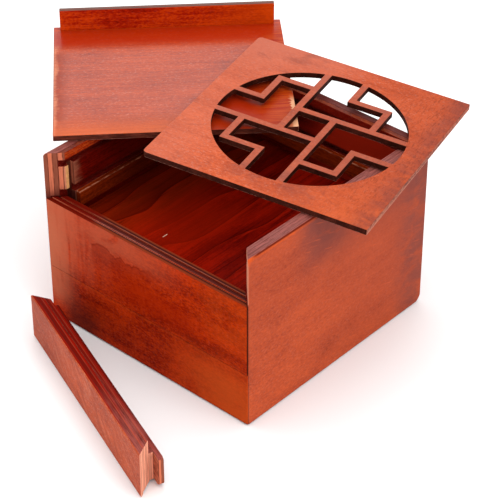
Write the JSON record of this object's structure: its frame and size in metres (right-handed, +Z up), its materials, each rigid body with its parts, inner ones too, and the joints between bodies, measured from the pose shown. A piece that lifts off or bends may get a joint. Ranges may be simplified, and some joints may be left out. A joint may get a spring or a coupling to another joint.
{
  "type": "wooden puzzle box",
  "caption": "Square wooden puzzle box shown opened, with its lattice window panel and inner lid lying askew on the rim and its key bar taken off the front.",
  "frame": {"origin": "middle of the box's base, on the table", "axes": "+Z up; the front, where the key bar goes, faces -Y; +X is the right wall"},
  "size_m": [0.2334, 0.2349, 0.1093],
  "materials": {
    "outer_boards": "red mahogany stain under gloss lacquer",
    "liner_strips": "thin stain, satin, plywood edges showing",
    "rails": "dark red-brown stain, satin",
    "floor": "deep red stain, satin",
    "front_panel": "red mahogany stain under gloss lacquer",
    "window_panel": "salmon stain, satin, edges scorched by laser cutting",
    "lid": "salmon stain under gloss lacquer, scorched edges",
    "key_bar": "terracotta stain, satin, plywood edges showing"
  },
  "bodies": {
    "box": {"wall_left": "outer_boards", "wall_right": "outer_boards", "wall_back": "outer_boards", "front_lower_face": "outer_boards", "base_panel": "outer_boards", "lip_left": "liner_strips", "lip_right": "liner_strips", "lip_back": "liner_strips", "hook_left": "liner_strips", "hook_right": "liner_strips", "upper_liner_left": "liner_strips", "upper_liner_right": "liner_strips", "upper_liner_back": "liner_strips", "lower_liner_left": "liner_strips", "lower_liner_right": "liner_strips", "lower_liner_back": "liner_strips", "front_lower_back": "liner_strips", "rail_left": "rails", "rail_right": "rails", "rail_back": "rails", "floor_cleat_left": "rails", "floor_cleat_right": "rails", "floor_cleat_back": "rails", "false_floor": "floor"},
    "front_panel": {"front_panel_face": "front_panel", "front_panel_back": "front_panel"},
    "window": {"window_panel": "window_panel"},
    "lid": {"lid_panel": "lid", "lid_strip": "lid"},
    "key_bar": {"bar_face": "key_bar", "bar_backing": "key_bar", "bar_core": "key_bar", "bar_tongue": "key_bar"}
  },
  "joints": [
    {"name": "front_panel_slide", "type": "slide", "parent": "box", "child": "front_panel", "axis": [0, 0, 1], "range_m": [0, 0.066]},
    {"name": "window_lift", "type": "slide", "parent": "box", "child": "window", "axis": [0, 0, 1], "range_m": [0, 0.06]},
    {"name": "lid_draw", "type": "slide", "parent": "box", "child": "lid", "axis": [-0.7193, 0.6947, 0], "range_m": [0, 0.09]},
    {"name": "key_bar_lift", "type": "slide", "parent": "box", "child": "key_bar", "axis": [0, 0, 1], "range_m": [0, 0.06]}
  ]
}
